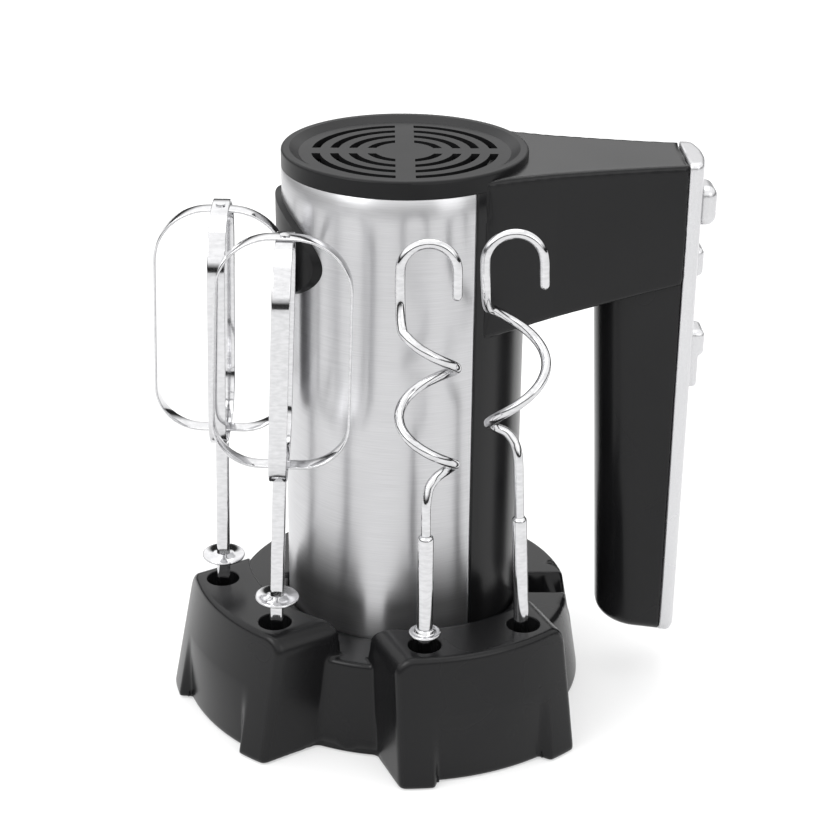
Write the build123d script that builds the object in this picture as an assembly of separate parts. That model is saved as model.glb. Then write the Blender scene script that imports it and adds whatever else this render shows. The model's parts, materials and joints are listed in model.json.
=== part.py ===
from build123d import *
import math
import os

# Hand mixer standing on its rear end in a storage stand, with two beaters and two
# dough hooks. The motor axis is +Z, the handle points along +X, the floor is z = 0.

# Stand
stand_r_low, stand_r_top, stand_top = 79.0, 72.6, 40.0
lobe_top, lobe_inner_r, lobe_half = 55.0, 67.0, 39.5
lobe_r_low, lobe_r_top, foot_r_low, panel_half = 97.0, 91.7, 102.5, 20.0
lobe_angles = {"beater": -147.0, "hook": -68.0}
hole_ring_r = {"beater": 80.8, "hook": 80.0}
hole_spread, hole_r, hole_floor = 16.0, 6.75, 38.0
shell_wall, shell_low = 2.8, 0.8
well_r, well_floor = 50.6, 8.0
slot_half, slot_floor = 8.0, 25.0

# Body
body_r, sleeve_t, body_low, sleeve_low, sleeve_top = 50.0, 0.8, 8.0, 12.0, 232.8
spine_half_angle = 56.8
core_r = body_r - sleeve_t - 0.05
wall = 2.6
cap_top, cap_dish, cap_plate = 240.0, 2.2, 2.4
vent_radii, vent_width, vent_cross = (37.8, 30.4, 23.0, 15.6), 3.4, 7.8
arm_top, arm_plan = 237.0, [(20, 43), (31, 39), (45, 33.8), (60, 28.6), (78, 24.2), (97, 20.2), (113, 17.6)]
arm_low_at_body, arm_slope = 164.6, 0.195
grip_low, grip_back, grip_front_low, grip_front_top, grip_half = 24.0, 113.0, 86.6, 79.6, 16.4
trim_out = 121.6

# Drive
socket_y, socket_z = 20.0, 200.5
boss_half_y, boss_half_z, boss_r = 38.0, 20.0, 52.6
starts, wheel_teeth, module, lead_angle = 2, 30, 1.0, 12.5
tube_r, socket_r, face_width = 6.5, 4.1, 6.0
shaft_r = 3.0

# Accessories
shank_half, disc_z, tip_z, loop_low, loop_top = 2.75, 67.0, 38.3, 127.0, 223.2
loop_half, strip_w, strip_t = 26.4, 7.0, 1.0
beater_lean = {"left": (1.5, -1.7), "right": (2.3, -0.8)}
hook_wire, ferrule_r = 1.95, 3.25
hook_lean = {"left": 0.0, "right": -2.6}

os.makedirs("parts", exist_ok=True)


def save(shape, name):
    export_step(shape, f"parts/{name}.step")
    print(name, round(shape.volume, 1))


def cyl(r, z0, z1, x=0.0, y=0.0):
    return Pos(x, y, (z0 + z1) / 2) * Cylinder(r, z1 - z0)


def cyl_x(r, x0, x1, y, z):
    return Pos((x0 + x1) / 2, y, z) * Rot(0, 90, 0) * Cylinder(r, x1 - x0)


def cyl_y(r, y0, y1, x, z):
    return Pos(x, (y0 + y1) / 2, z) * Rot(90, 0, 0) * Cylinder(r, y1 - y0)


def cone(r0, r1, z0, z1):
    return Pos(0, 0, (z0 + z1) / 2) * Cone(r0, r1, z1 - z0)


def block(x0, x1, y0, y1, z0, z1):
    return Pos((x0 + x1) / 2, (y0 + y1) / 2, (z0 + z1) / 2) * Box(x1 - x0, y1 - y0, z1 - z0)


def ring(r_out, r_in, z0, z1):
    return cyl(r_out, z0, z1) - cyl(r_in, z0 - 1, z1 + 1)


def prism(points, z0, z1):
    # straight prism over a closed outline given as (x, y) points
    face = make_face(Polyline(*[(x, y, z0) for x, y in points], close=True))
    return extrude(face, z1 - z0, dir=(0, 0, 1))


def sector(r, half_angle, z0, z1, centre=0.0):
    # wedge about +Z, half_angle either side of the centre direction, under 90 degrees
    a = math.radians(half_angle)
    reach = r / math.cos(a)
    points = [(0, 0), (reach * math.cos(a), -reach * math.sin(a)), (reach * math.cos(a), reach * math.sin(a))]
    return Rot(0, 0, centre) * prism(points, z0, z1)


def polar(r, degrees):
    return r * math.cos(math.radians(degrees)), r * math.sin(math.radians(degrees))


# ---- Stand ----

def lobe(angle, inset, z0):
    # an accessory lobe: flat sides, a conical outer face and two flared corner feet
    half = lobe_half - inset
    top = lobe_top - inset
    body = block(40, 130, -half, half, z0, top)
    edges = [e for e in body.edges().filter_by(Axis.X) if e.center().Z > top - 1]
    body = fillet(edges, 7.0)
    slope = (lobe_r_low - lobe_r_top) / lobe_top
    front = cone(lobe_r_low - inset, lobe_r_low - inset - slope * top, 0, top)
    foot_slope = (foot_r_low - lobe_r_top) / lobe_top
    foot_cone = cone(foot_r_low - inset, foot_r_low - inset - foot_slope * top, 0, top)
    middle = body & front
    feet = body & foot_cone
    middle = middle + (feet - block(60, 140, -panel_half - inset, panel_half + inset, -1, lobe_top + 1))
    middle = middle - cyl(lobe_inner_r + inset, stand_top - inset + 0.01, top + 5)
    return Rot(0, 0, angle) * middle


def stand_form(inset, z0):
    slope = (stand_r_low - stand_r_top) / stand_top
    top = stand_top - inset
    drum = cone(stand_r_low - inset - slope * z0, stand_r_low - inset - slope * top, z0, top)
    if inset == 0:
        drum = fillet(drum.edges().sort_by(Axis.Z)[-1], 1.6)
    for angle in lobe_angles.values():
        drum = drum + (lobe(angle, inset, z0) & block(-150, 150, -150, 150, z0, 100))
    return drum


holes = {}
for kind, angle in lobe_angles.items():
    for name, side in (("left", -1), ("right", 1)):
        holes[kind, name] = polar(hole_ring_r[kind], angle + side * hole_spread)

boss_spots = [polar(62.5, a) for a in (28, 90, 152)] + [polar(82, lobe_angles["beater"]), polar(82, lobe_angles["hook"])]
shell = stand_form(0, shell_low)
cavity = stand_form(shell_wall, shell_low - 1)
cavity = cavity - cyl(well_r + shell_wall, 0, 60) - block(45, 90, -slot_half - 2.4, slot_half + 2.4, slot_floor - 2.4, 60)
for x, y in holes.values():
    cavity = cavity - cyl(hole_r + 2.0, hole_floor - 2.4, 60, x, y)
for x, y in boss_spots:
    cavity = cavity - cyl(4.2, 3.8, 60, x, y)
shell = shell - cavity - cyl(well_r, well_floor, 60)
shell = shell - cyl(well_r - 2, shell_low - 1, well_floor - shell_wall)
shell = shell - cyl(well_r + shell_wall, shell_low - 1, 3.8)
shell = shell - block(45, 90, -slot_half, slot_half, slot_floor, 60)
for x, y in holes.values():
    shell = shell - cyl(hole_r, hole_floor, 60, x, y)
for x, y in boss_spots:
    shell = shell - cyl(1.5, -1, 20, x, y) - cyl(4.6, shell_low - 1, 3.8, x, y)
save(shell, "stand_shell")

plate = stand_form(shell_wall + 0.4, 1.2) & block(-150, 150, -150, 150, 1.2, 3.6)
foot_spots = [polar(68, 40), polar(68, 140)]
foot_spots += [polar(84, a + d) for a in lobe_angles.values() for d in (-18.5, 18.5)]
for x, y in boss_spots:
    plate = plate - cyl(1.6, 0, 5, x, y) - cyl(3.0, 0, 2.4, x, y)
for x, y in foot_spots + [(0, 0)]:
    plate = plate - cyl(1.5, 0, 5, x, y)
save(plate, "stand_base_plate")

screws = None
for x, y in boss_spots:
    one = cyl(2.8, 1.3, 2.4, x, y) + cyl(1.45, 2.4, 15, x, y)
    one = one - Pos(x, y, 1.5) * Box(3.2, 0.8, 0.9) - Pos(x, y, 1.5) * Box(0.8, 3.2, 0.9)
    screws = one if screws is None else screws + one
save(screws, "stand_screws")
feet = None
for x, y in foot_spots:
    one = cyl(5.5, 0, 1.2, x, y) + cyl(1.4, 1.2, 3.4, x, y)
    feet = one if feet is None else feet + one
save(feet, "stand_feet")
save(cyl(30, 0, 1.2) + cyl(1.4, 1.2, 3.4), "stand_mat")

# ---- Housing ----

def arm(inset):
    # tapering arm from the front of the body to the grip, underside sloping upwards
    plan = [(x, h - inset) for x, h in arm_plan]
    plan[-1] = (grip_back - inset, plan[-1][1])
    outline = plan + [(x, -y) for x, y in reversed(plan)]
    solid = prism(outline, 140, arm_top - inset)
    if inset == 0:
        edges = [e for e in solid.edges() if e.center().Z > arm_top - 0.1 and e.center().X > 25 and e.center().X < 112.9]
        solid = fillet(edges, 1.2)
    low = arm_low_at_body + inset
    under = [(0, 0, 100), (0, 0, low), (140, 0, low + arm_slope * 140), (140, 0, 100)]
    cut = extrude(make_face(Polyline(*under, close=True)), 80, dir=(0, 1, 0))
    cut = cut + mirror(cut, Plane.XZ)
    return solid - cut


def grip_face(front, z, inset):
    # rounded inner side, near-straight flanks, flat back where the trim sits
    h = grip_half - inset
    f, b = front + inset, grip_back - inset
    m = f + 0.48 * (b - f)
    top = Spline((m, h, z), (f + 0.16 * (b - f), 0.66 * h, z), (f, 0, z), (f + 0.16 * (b - f), -0.66 * h, z),
                 (m, -h, z), tangents=[(-1, 0, 0), (1, 0, 0)])
    lines = [top, Line((m, -h, z), (b, -h - 0.6, z)), Line((b, -h - 0.6, z), (b, h + 0.6, z)),
             Line((b, h + 0.6, z), (m, h, z))]
    return make_face(Wire(lines))


def grip(inset):
    low, top = grip_low + inset, 190.0
    slope = (grip_front_low - grip_front_top) / (170 - grip_low)
    faces = [grip_face(grip_front_low - slope * (z - grip_low), z, inset) for z in (low, top)]
    solid = loft(faces)
    if inset == 0:
        edges = [e for e in solid.edges() if e.center().Z < low + 0.5 and e.center().X < grip_back - 0.5]
        solid = fillet(edges, 5.0)
    return solid


def housing_form(inset):
    if inset == 0:
        core = cyl(core_r, sleeve_low, sleeve_top) + (cyl(body_r - 0.1, sleeve_low, sleeve_top)
                                                     & sector(80, spine_half_angle - 0.2, sleeve_low, sleeve_top))
    else:
        core = cyl(core_r - inset, sleeve_low + inset, sleeve_top + 1)
    form = core + (arm(inset) - cyl(20, 100, 300)) + grip(inset)
    return form - cyl(body_r + 0.03, sleeve_top, 300) if inset == 0 else form


def inlet(r, s0, s1):
    # cylinder on the cord inlet's axis between two distances along it
    return Pos(body_r, 0, inlet_z) * Rot(0, 90 + inlet_dip, 0) * Pos(0, 0, (s0 + s1) / 2) * Cylinder(r, s1 - s0)


eject_z, turbo_z, slider_z = 216.4, 192.4, 149.5
inlet_z, inlet_r, inlet_dip = 31.0, 3.2, 25.0
housing = housing_form(0) - housing_form(wall)
mouth = Pos(-body_r, 0, socket_z) * Rot(0, 90, 0) * extrude(Ellipse(boss_half_z - 4, boss_half_y - 4), 20, both=True)
housing = housing - mouth
housing = housing - cyl_x(2.2, 108, 116, 0, eject_z) - cyl_x(2.2, 108, 116, 0, turbo_z)
housing = housing - block(108, 116, -2.2, 2.2, 112, 158)
housing = housing - inlet(4.5, -8, 3)
housing_screws_at = [(104, 204), (100, 120), (98, 46), (62, 188)]
bosses, screw_set = None, None
for x, z in housing_screws_at:
    reach = (grip_half if x > 80 else 27) - 0.8
    post = cyl_y(3.4, -reach, reach, x, z)
    bosses = post if bosses is None else bosses + post
housing = housing + (bosses & housing_form(1.0))
for x, z in housing_screws_at:
    reach = 16.0 if x > 80 else 26.5
    housing = housing - cyl_y(1.5, -reach + 4, reach + 10, x, z) - cyl_y(2.8, reach - 4, reach + 15, x, z)
    one = cyl_y(1.45, -reach + 6, reach - 4, x, z) + cyl_y(2.6, reach - 4, reach - 2.2, x, z)
    one = one - Pos(x, reach - 2.2, z) * Box(3.0, 1.6, 0.8) - Pos(x, reach - 2.2, z) * Box(0.8, 1.6, 3.0)
    screw_set = one if screw_set is None else screw_set + one
half = block(-120, 160, 0, 120, 0, 260)
save(housing & half, "housing_right")
save(housing & mirror(half, Plane.XZ), "housing_left")
save(screw_set, "housing_screws")

sleeve = ring(body_r, body_r - sleeve_t, sleeve_low, sleeve_top) - sector(80, spine_half_angle, 0, 260)
sleeve = sleeve - mouth
save(sleeve, "steel_sleeve")

cover = cyl(body_r - 0.4, body_low, sleeve_low) - cyl(body_r - 6, body_low + 2.4, sleeve_low + 1)
cover = chamfer(cover.edges().sort_by(Axis.Z)[0], 0.8)
save(cover, "end_cover")

# Front cap: rim, dished plate with four rings of slots split by a cross, and a short skirt inside
cap = cyl(body_r, sleeve_top, cap_top)
cap = fillet(cap.edges().sort_by(Axis.Z)[-1], 1.2)
dish = cone(body_r - 7.2, body_r - 3.4, cap_top - cap_dish, cap_top + 0.001)
cap = cap - dish - cyl(core_r - wall - 1.8, sleeve_top - 1, cap_top - cap_dish - cap_plate)
for r in vent_radii:
    slots = ring(r, r - vent_width, sleeve_top, cap_top + 1)
    slots = slots - block(-60, 60, -vent_cross / 2, vent_cross / 2, 0, 300)
    slots = slots - block(-vent_cross / 2, vent_cross / 2, -60, 60, 0, 300)
    cap = cap - slots
cap = cap + (ring(core_r - wall - 0.2, core_r - wall - 1.8, sleeve_top - 5, sleeve_top + 1)
             - block(0, 60, -40, 40, 0, 300))
save(cap, "vent_cap")

# Socket plate on the front-facing side of the body, where the accessories plug in
plate = Pos(-body_r, 0, socket_z) * Rot(0, 90, 0) * extrude(Ellipse(boss_half_z, boss_half_y), 20, both=True)
plate = plate & (cyl(boss_r, 150, 240) - cyl(body_r + 0.02, 140, 250))
plate = plate & block(-60, 0, -60, 60, 100, 300)
neck = Pos(-body_r, 0, socket_z) * Rot(0, 90, 0) * extrude(Ellipse(boss_half_z - 4.3, boss_half_y - 4.3), 20, both=True)
plate = plate + (neck & (cyl(boss_r, 150, 240) - cyl(core_r - wall + 0.1, 140, 250)) & block(-60, 0, -60, 60, 100, 300))
for s in (-1, 1):
    plate = plate - cyl_x(tube_r + 0.5, -60, -30, s * socket_y, socket_z)
save(plate, "socket_plate")

# ---- Handle trim and controls ----

def trim_face(z, half, out):
    # shallow dome across the grip's back with round shoulders
    b = grip_back
    curve = Spline((b, half, z), (b + 0.62 * (out - b), 0.9 * half, z), (out - 0.25, 0.5 * half, z), (out, 0, z),
                   (out - 0.25, -0.5 * half, z), (b + 0.62 * (out - b), -0.9 * half, z), (b, -half, z))
    return make_face(Wire([curve, Line((b, -half, z), (b, half, z))]))


trim = loft([trim_face(grip_low, grip_half + 0.6, trim_out), trim_face(150, grip_half + 0.6, trim_out),
             trim_face(arm_top - 0.6, 17.6, trim_out)])
trim = fillet([e for e in trim.edges() if e.center().Z < grip_low + 0.2 and e.center().X > grip_back + 0.5], 4.5)
trim = fillet([e for e in trim.edges() if e.center().Z > arm_top - 0.8 and e.center().X > grip_back + 0.5], 3.0)
trim = trim - block(grip_back - 1, trim_out - 2.6, -grip_half + 4, grip_half - 4, grip_low + 8, arm_top - 5)
trim = trim - block(110, 130, -7.3, 7.3, eject_z - 7.9, eject_z + 7.9)
trim = trim - cyl_x(5.3, 110, 130, 0, turbo_z)
trim = trim - block(110, 130, -2.4, 2.4, 113, 158)
save(trim, "handle_trim")

button = block(117.6, 126.8, -7.0, 7.0, eject_z - 7.6, eject_z + 7.6)
button = fillet([e for e in button.edges() if e.center().X > 126.7], 2.4)
button = button - block(126.2, 128, -5, 5, eject_z + 1.6, eject_z + 2.6)
save(button, "eject_button")
turbo = cyl_x(5.0, 117.4, 123.4, 0, turbo_z)
turbo = fillet([e for e in turbo.edges() if e.center().X > 123.3], 0.9)
turbo = turbo + cyl_x(1.9, 108.5, 117.5, 0, turbo_z)
save(turbo, "turbo_button")
knob = block(trim_out + 0.15, 125.0, -6.2, 6.2, slider_z - 12.4, slider_z + 1.0)
knob = knob + block(trim_out + 0.15, 126.8, -6.2, 6.2, slider_z + 1.0, slider_z + 12.4)
knob = fillet([e for e in knob.edges().filter_by(Axis.Y) if e.center().X > 124.9 and abs(e.center().Z - slider_z - 1) > 2], 1.6)
knob = knob + block(114, trim_out + 0.3, -1.9, 1.9, slider_z - 5, slider_z + 5)
knob = knob + block(107.2, 114, -1.7, 1.7, slider_z - 5, slider_z + 5)
save(knob, "speed_slider")

rod = cyl_x(1.8, 20, 117.6, 0, eject_z) + block(17, 20, -socket_y - 3, socket_y + 3, socket_z - 3.4, eject_z + 3)
for s in (-1, 1):
    rod = rod + cyl_x(1.35, 2, 17, s * socket_y, socket_z)
save(rod, "eject_fork")
save(block(90, 104, -6.5, 6.5, 128, 166) - block(84, 95, -9, 9, 158, 170), "speed_switch")
save(block(96, 106.8, -6, 6, turbo_z - 6, turbo_z + 6) - cyl_x(2.4, 105, 110, 0, turbo_z), "turbo_switch")
bush = inlet(4.4, -5.6, 2) + (inlet(5.0, -4, 2.8) - cyl(body_r - 0.1, 0, 60))
bush = bush + (inlet(4.8, -5.6, -2) & cyl(core_r - wall - 0.05, 0, 60))
save(bush - inlet(inlet_r, -20, 20), "cord_bush")

# ---- Motor ----

stack_low, stack_top = 76.0, 116.0
stack = ring(37.0, 24.4, stack_low, stack_top)
for s in (0, 90, 180, 270):
    stack = stack - Rot(0, 0, s + 45) * block(23, 31, -5, 5, stack_low - 1, stack_top + 1)
save(stack, "stator_stack")
coils = None
for s in (0, 90, 180, 270):
    one = Rot(0, 0, s + 45) * (block(24.6, 30.6, -4.6, 4.6, stack_low - 9, stack_top + 9))
    coils = one if coils is None else coils + one
save(coils, "field_coils")
cradle = ring(core_r - wall - 0.1, 37.2, 84, 90) + ring(core_r - wall - 0.1, 37.2, 102, 108)
save(cradle, "motor_cradle")
armature = ring(23.6, shaft_r, stack_low + 1, stack_top - 1)
for i in range(12):
    armature = armature - Rot(0, 0, i * 30) * block(15, 24, -1.0, 1.0, 0, 200)
save(armature, "armature_core")
windings = ring(20.5, shaft_r + 2, stack_top - 0.9, stack_top + 9) + ring(20.5, shaft_r + 2, stack_low - 9, stack_low + 0.9)
save(windings, "armature_windings")
commutator = ring(9.0, shaft_r, 50, 62)
for i in range(12):
    commutator = commutator - Rot(0, 0, i * 30) * block(8.0, 10, -0.4, 0.4, 0, 200)
save(commutator, "commutator")
brushes = block(9.1, 20, -2.4, 2.4, 52.5, 59.5) + block(-20, -9.1, -2.4, 2.4, 52.5, 59.5)
save(brushes, "carbon_brushes")
holders = None
for s in (0, 180):
    one = block(11, core_r - wall - 0.2, -4, 4, 50.5, 61.5) - block(9, 34, -2.45, 2.45, 52.4, 59.6)
    one = Rot(0, 0, s) * one
    holders = one if holders is None else holders + one
save(holders & cyl(core_r - wall - 0.1, 0, 100), "brush_holders")
rear = ring(8.0, shaft_r + 0.06, 36, 43) + (ring(core_r - wall - 0.1, 8.0, 38, 41) - ring(36, 16, 0, 100))
for s in (0, 60, 120):
    rear = rear + (Rot(0, 0, s) * block(-40, 40, -4, 4, 38, 41) - cyl(8, 0, 100))
save(rear, "rear_bearing")
fan = ring(7.0, shaft_r, 136, 146) + ring(40.0, 6.5, 136, 137.6)
for i in range(14):
    fan = fan + Rot(0, 0, i * 360 / 14) * Pos(25, 0, 141.4) * Rot(0, 0, 25) * Box(26, 1.2, 8.0)
save(fan, "cooling_fan")

# Worm and wheels are a crossed helical pair: the worm's two threads have straight flanks along
# the axis, so its round section is two lobes bounded by spirals
axial_pitch = math.pi * module / math.cos(math.radians(lead_angle))
lead = starts * axial_pitch
worm_r = 0.5 * module * starts / math.sin(math.radians(lead_angle))
wheel_r = 0.5 * module * wheel_teeth / math.cos(math.radians(lead_angle))
axis_gap = worm_r + wheel_r
slack, addendum, dedendum, flank = 0.22, 0.85, 1.15, math.tan(math.radians(20))
worm_low, worm_top = 187.0, 214.0


def worm_face(z):
    # outline at height z: for each thread, out along one spiral flank and back along the other
    points = []
    for k in range(starts):
        mid = -90 + 360 * k / starts + 360 * (z - socket_z) / lead
        for i in range(13):
            r = worm_r - dedendum + (addendum + dedendum) * i / 12
            a = mid - 360 * (axial_pitch / 4 - slack / 2 - (r - worm_r) * flank) / lead
            points.append((r, a))
        for i in range(13):
            r = worm_r + addendum - (addendum + dedendum) * i / 12
            a = mid + 360 * (axial_pitch / 4 - slack / 2 - (r - worm_r) * flank) / lead
            points.append((r, a))
    return Face(Wire.make_polygon([Vector(*polar(r, a), z) for r, a in points], close=True))


def wheel():
    # involute teeth twisted by the lead angle across the face, axis along X, a gap facing +Y
    pressure = math.radians(20)
    base = wheel_r * math.cos(pressure)

    def involute(r):
        t = math.sqrt(max((r / base) ** 2 - 1, 0))
        return t - math.atan(t)

    half = math.pi / (2 * wheel_teeth) - slack / 2 / wheel_r
    points = []
    for k in range(wheel_teeth):
        mid = 2 * math.pi * (k + 0.5) / wheel_teeth
        for i in range(8):
            r = wheel_r - dedendum + (addendum + dedendum) * i / 7
            points.append((r, mid - half - involute(wheel_r) + involute(r)))
        for i in range(8):
            r = wheel_r + addendum - (addendum + dedendum) * i / 7
            points.append((r, mid + half + involute(wheel_r) - involute(r)))
    ring_points = [Vector(r * math.cos(a), r * math.sin(a), 0) for r, a in points]
    face = Face(Wire.make_polygon(ring_points, close=True))
    turn = 360 * face_width * math.tan(math.radians(lead_angle)) / (2 * math.pi * wheel_r)
    blank = Solid.extrude_linear_with_rotation(face, (0, 0, 0), (0, 0, face_width), turn)
    blank = Rot(0, 0, -turn / 2) * Pos(0, 0, -face_width / 2) * blank
    blank = blank - ring(12.6, 9.0, 1.4, face_width) - ring(12.6, 9.0, -face_width, -1.4)
    return Plane(origin=(0, 0, 0), x_dir=(0, 1, 0), z_dir=(1, 0, 0)) * blank


worm = Solid.extrude_linear_with_rotation(worm_face(worm_low), (0, 0, worm_low), (0, 0, worm_top - worm_low),
                                          360 * (worm_top - worm_low) / lead)
shaft = cyl(shaft_r, 36.5, worm_low) + cyl(worm_r - dedendum + 0.1, worm_low - 2, worm_low) + worm
shaft = shaft + cyl(shaft_r, worm_top, 223)
save(shaft, "motor_shaft")

# Spindles: one drive wheel and one socket tube each, turning about X either side of the worm
wheel_solid = wheel() - cyl_x(5.0, -5, 5, 0, 0)
tube = cyl_x(5.0, -9, 9.4, 0, 0) + cyl_x(tube_r, -44.4, -4.2, 0, 0)
tube = tube - cyl_x(socket_r, -60, -16, 0, 0) - cyl_x(1.6, -20, 20, 0, 0)
for angle in (0, 90):
    tube = tube - Rot(angle, 0, 0) * block(-42, -38.5, -5.4, 5.4, -1.1, 1.1)
hub = cyl_x(5.6, 3.1, 4.6, 0, 0) - cyl_x(5.0, 2, 6, 0, 0)
for name, turn in (("left", 0), ("right", 180)):
    place = Rot(0, 0, turn) * Pos(0, -socket_y, socket_z)
    seat = Pos(0, -socket_y if turn == 0 else socket_y, socket_z)
    save(place * wheel_solid, f"drive_wheel_{name}")
    save(seat * (tube + hub), f"spindle_tube_{name}")

case = block(-15, 13, -39.4, 39.4, 180.4, 221)
for s in (-1, 1):
    case = case + cyl_x(9.6, -44, -14, s * socket_y, socket_z)
case = case & cyl(core_r - wall - 0.15, 100, 300)
case = case - block(-8.4, 6.0, -37, 37, 183.2, 218.2)
for s in (-1, 1):
    case = case - cyl_x(tube_r + 0.07, -60, -5, s * socket_y, socket_z)
    case = case - cyl_x(5.07, 0, 10.0, s * socket_y, socket_z) - cyl_x(1.7, 5, 20, s * socket_y, socket_z)
case = case - cyl(shaft_r + 0.06, 170, 219.6 + 4)
save(case, "gearbox_case")

# ---- Accessories ----


def placed(shape, kind, name, lean_x, lean_y):
    # stood in its hole: tip on the hole's floor, leaning by the small angles given
    x, y = holes[kind, name]
    return Pos(x, y, tip_z) * Rot(-lean_y, lean_x, 0) * Pos(0, 0, -tip_z) * shape


def loop(low, top, half):
    # flat strip bent into a tall closed loop with large corners, in the XZ plane
    outer = Pos(0, 0, (low + top) / 2) * Rot(90, 0, 0) * extrude(
        RectangleRounded(2 * half, top - low, 20.5), strip_w / 2, both=True)
    inner = Pos(0, 0, (low + top) / 2) * Rot(90, 0, 0) * extrude(
        RectangleRounded(2 * half - 2 * strip_t, top - low - 2 * strip_t, 20.5 - strip_t), strip_w, both=True)
    return outer - inner


for name, over in (("left", 1), ("right", -1)):
    lean = beater_lean[name]
    shank = Pos(0, 0, (tip_z + loop_low - strip_t) / 2) * Box(2 * shank_half, 2 * shank_half, loop_low - strip_t - tip_z)
    shank = fillet(shank.edges().filter_by(Axis.Z), 1.2)
    bar = shank
    shank = chamfer(shank.edges().group_by(Axis.Z)[0], 0.8)
    for dz in (-2.6, 2.4):
        shank = shank - Pos(0, -shank_half, disc_z + dz) * Box(1.7, 1.4, 1.9)
    shank = shank + cyl(1.5, loop_low - strip_t, loop_low + strip_t) + cyl(2.6, loop_low + strip_t, loop_low + strip_t + 1.0)
    holes_in_strips = cyl(1.55, loop_low - 5, loop_low + 5)
    cross_top = loop_top + over * strip_t
    face_loop = loop(loop_low, loop_top, loop_half) - holes_in_strips - cyl(1.05, loop_top - 5, loop_top + 5)
    side_loop = Rot(0, 0, 90) * loop(loop_low - strip_t, cross_top, loop_half) - holes_in_strips
    side_loop = side_loop - cyl(1.05, loop_top - 5, loop_top + 5)
    high, deep = max(loop_top, cross_top), min(loop_top, cross_top) - strip_t
    rivet = cyl(1.0, deep, high) + cyl(1.9, high, high + 0.6) + cyl(1.9, deep - 0.6, deep)
    disc = cyl(9.0, disc_z - 0.6, disc_z + 0.6) - bar
    for piece, label in ((shank, "shank"), (face_loop, "face_loop"), (side_loop, "side_loop"), (rivet, "rivet"),
                         (disc, "disc")):
        save(placed(piece, "beater", name, *lean), f"beater_{name}_{label}")


def wire(points, radius):
    path = Spline(*points)
    return sweep(Plane(origin=path @ 0, z_dir=path % 0) * Circle(radius), path)


def coil(radius, start, end, z_start, z_end, count):
    # points of a helix from one angle to another
    out = []
    for i in range(count):
        t = i / (count - 1)
        a = math.radians(start + t * (end - start))
        out.append((radius * math.cos(a), radius * math.sin(a), z_start + t * (z_end - z_start)))
    return out


def bend(half, tip, crown, foot):
    # end of the hook: up from the tip, over a round top, down the other side
    mid = crown - half
    out = [(half, 0, tip), (half, 0, (tip + mid) / 2)]
    out += [(half * math.cos(a), 0, mid + half * math.sin(a)) for a in [math.pi * k / 6 for k in range(7)]]
    return out + [(-half, 0, foot)]


neck_z, ferrule_top = 118.0, 104.6
left_wire = bend(10.6, 203.0, 225.6, 203.0) + coil(10.8, -180, 0, 196.0, 175.7, 7)[0:]
left_wire += coil(10.8, 30, 360, 172.3, 135.6, 12)
left_wire += [(9.0 * 0.9, 3.6, 131.6), (4.2, 4.2, 128.2), (1.2, 2.2, 124.4), (0, 0.2, neck_z), (0, 0, 110.0), (0, 0, ferrule_top - 1)]
right_wire = bend(11.2, 201.5, 224.2, 203.0) + coil(11.4, 180, 0, 197.0, 172.7, 7)
right_wire += coil(11.4, -30, -180, 168.3, 146.4, 6)
right_wire += [(-8.9, 3.4, 143.0), (-4.3, 4.0, 140.2), (-1.2, 2.4, 136.2), (0, 0.4, 130.0), (0, 0, neck_z), (0, 0, ferrule_top - 1)]
for name, points in (("left", left_wire), ("right", right_wire)):
    r = ferrule_r if name == "left" else 3.05
    sleeve = cyl(r, tip_z, ferrule_top)
    sleeve = chamfer(sleeve.edges().group_by(Axis.Z)[0], 0.9)
    sleeve = fillet(sleeve.edges().group_by(Axis.Z)[-1], 0.9)
    rod = wire(points, hook_wire) - block(-9, 9, -9, 9, ferrule_top - 9, ferrule_top)
    save(placed(rod, "hook", name, hook_lean[name], 0), f"hook_{name}_wire")
    save(placed(sleeve, "hook", name, hook_lean[name], 0), f"hook_{name}_ferrule")
collar = cyl(6.4, 60.2, 61.2) + cone(5.0, 4.2, 61.2, 62.4) - cyl(ferrule_r, 50, 70)
save(placed(collar, "hook", "left", 0, 0), "hook_left_collar")
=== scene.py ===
import json
import math

import bpy
import numpy as np
from mathutils import Matrix, Vector


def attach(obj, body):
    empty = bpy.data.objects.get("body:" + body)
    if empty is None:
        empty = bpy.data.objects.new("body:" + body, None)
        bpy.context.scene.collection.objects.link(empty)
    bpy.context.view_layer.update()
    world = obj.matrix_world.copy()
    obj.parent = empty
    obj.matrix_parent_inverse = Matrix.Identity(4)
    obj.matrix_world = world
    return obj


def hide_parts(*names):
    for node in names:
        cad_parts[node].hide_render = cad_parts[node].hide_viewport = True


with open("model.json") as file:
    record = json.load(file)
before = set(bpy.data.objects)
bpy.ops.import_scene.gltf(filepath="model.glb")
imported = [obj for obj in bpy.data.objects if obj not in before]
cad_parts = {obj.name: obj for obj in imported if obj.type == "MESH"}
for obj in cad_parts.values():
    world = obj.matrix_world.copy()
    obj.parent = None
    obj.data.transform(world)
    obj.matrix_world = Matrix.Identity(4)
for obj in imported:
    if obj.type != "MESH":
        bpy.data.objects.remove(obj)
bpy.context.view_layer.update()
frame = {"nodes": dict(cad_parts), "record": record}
nodes = frame["nodes"]
millimetre = 0.001
print("frame loaded,", len(nodes), "nodes")


# Materials: each is a node tree on Object coordinates

def newMaterial(name):
    # a node material, with its shader and the object's own coordinates ready to link
    material = bpy.data.materials.new(name)
    material.use_nodes = True
    tree = material.node_tree
    shader = tree.nodes["Principled BSDF"]
    where = tree.nodes.new("ShaderNodeTexCoord")
    return material, tree, shader, where


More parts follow.
